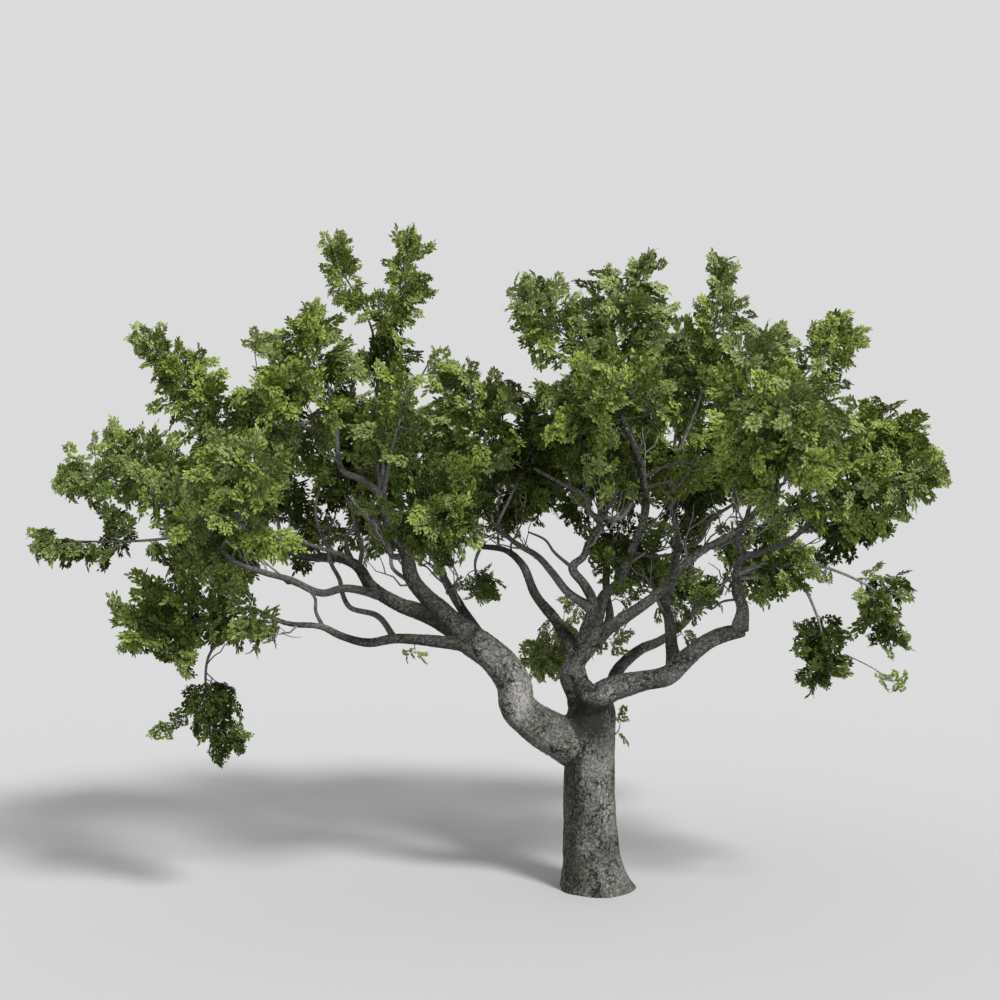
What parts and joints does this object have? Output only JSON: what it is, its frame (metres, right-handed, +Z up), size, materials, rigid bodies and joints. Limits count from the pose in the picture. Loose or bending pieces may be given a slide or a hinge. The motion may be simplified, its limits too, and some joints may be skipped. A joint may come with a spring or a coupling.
{
  "type": "oak tree",
  "caption": "Open-grown oak with a short flared trunk that forks low, wide crooked boughs and a broad, uneven, open crown of lobed leaves, rooted at a flat cut at ground level.",
  "frame": {"origin": "middle of the flat cut under the trunk, at ground level", "axes": "+Z up, +X to the right in the picture along the widest spread, +Y away from its camera"},
  "size_m": [10.98, 6.2114, 8.34],
  "materials": {
    "bark": "rough grey bark",
    "foliage": "matte green leaves"
  },
  "bodies": {
    "root": {"trunk": "bark", "left_bough": "bark", "left_leader": "bark", "mid_left_limb": "bark", "low_left_limb": "bark", "left_fork_limb": "bark", "crest_limb": "bark", "left_back_limb": "bark", "centre_stem": "bark", "tall_limb": "bark", "knee_limb": "bark", "long_right_limb": "bark", "inner_stem": "bark", "low_back_left_limb": "bark", "upper_left_limb": "bark", "right_bough": "bark", "right_upright": "bark", "right_reach": "bark", "back_right_stem": "bark", "back_right_fork": "bark", "back_low_limb": "bark", "far_left_foliage": "foliage", "left_shoulder_foliage": "foliage", "upper_left_foliage": "foliage", "front_left_foliage": "foliage", "left_rise_foliage": "foliage", "back_upper_left_foliage": "foliage", "back_left_foliage": "foliage", "low_left_foliage": "foliage", "low_hang_foliage": "foliage", "crest_foliage": "foliage", "crest_left_foliage": "foliage", "spire_left_foliage": "foliage", "spire_right_foliage": "foliage", "spire_side_foliage": "foliage", "front_inner_foliage": "foliage", "inner_foliage": "foliage", "back_mid_left_foliage": "foliage", "middle_top_foliage": "foliage", "middle_right_foliage": "foliage", "middle_back_foliage": "foliage", "back_hanging_foliage": "foliage", "low_back_foliage": "foliage", "overhang_foliage": "foliage", "top_centre_foliage": "foliage", "centre_front_foliage": "foliage", "top_right_foliage": "foliage", "top_back_foliage": "foliage", "right_top_foliage": "foliage", "right_front_foliage": "foliage", "right_crown_foliage": "foliage", "right_far_foliage": "foliage", "right_shoulder_foliage": "foliage", "right_low_foliage": "foliage", "under_right_foliage": "foliage", "hanging_right_foliage": "foliage", "hanging_far_right_foliage": "foliage", "back_right_foliage": "foliage", "back_centre_foliage": "foliage", "back_low_right_foliage": "foliage"}
  },
  "joints": []
}
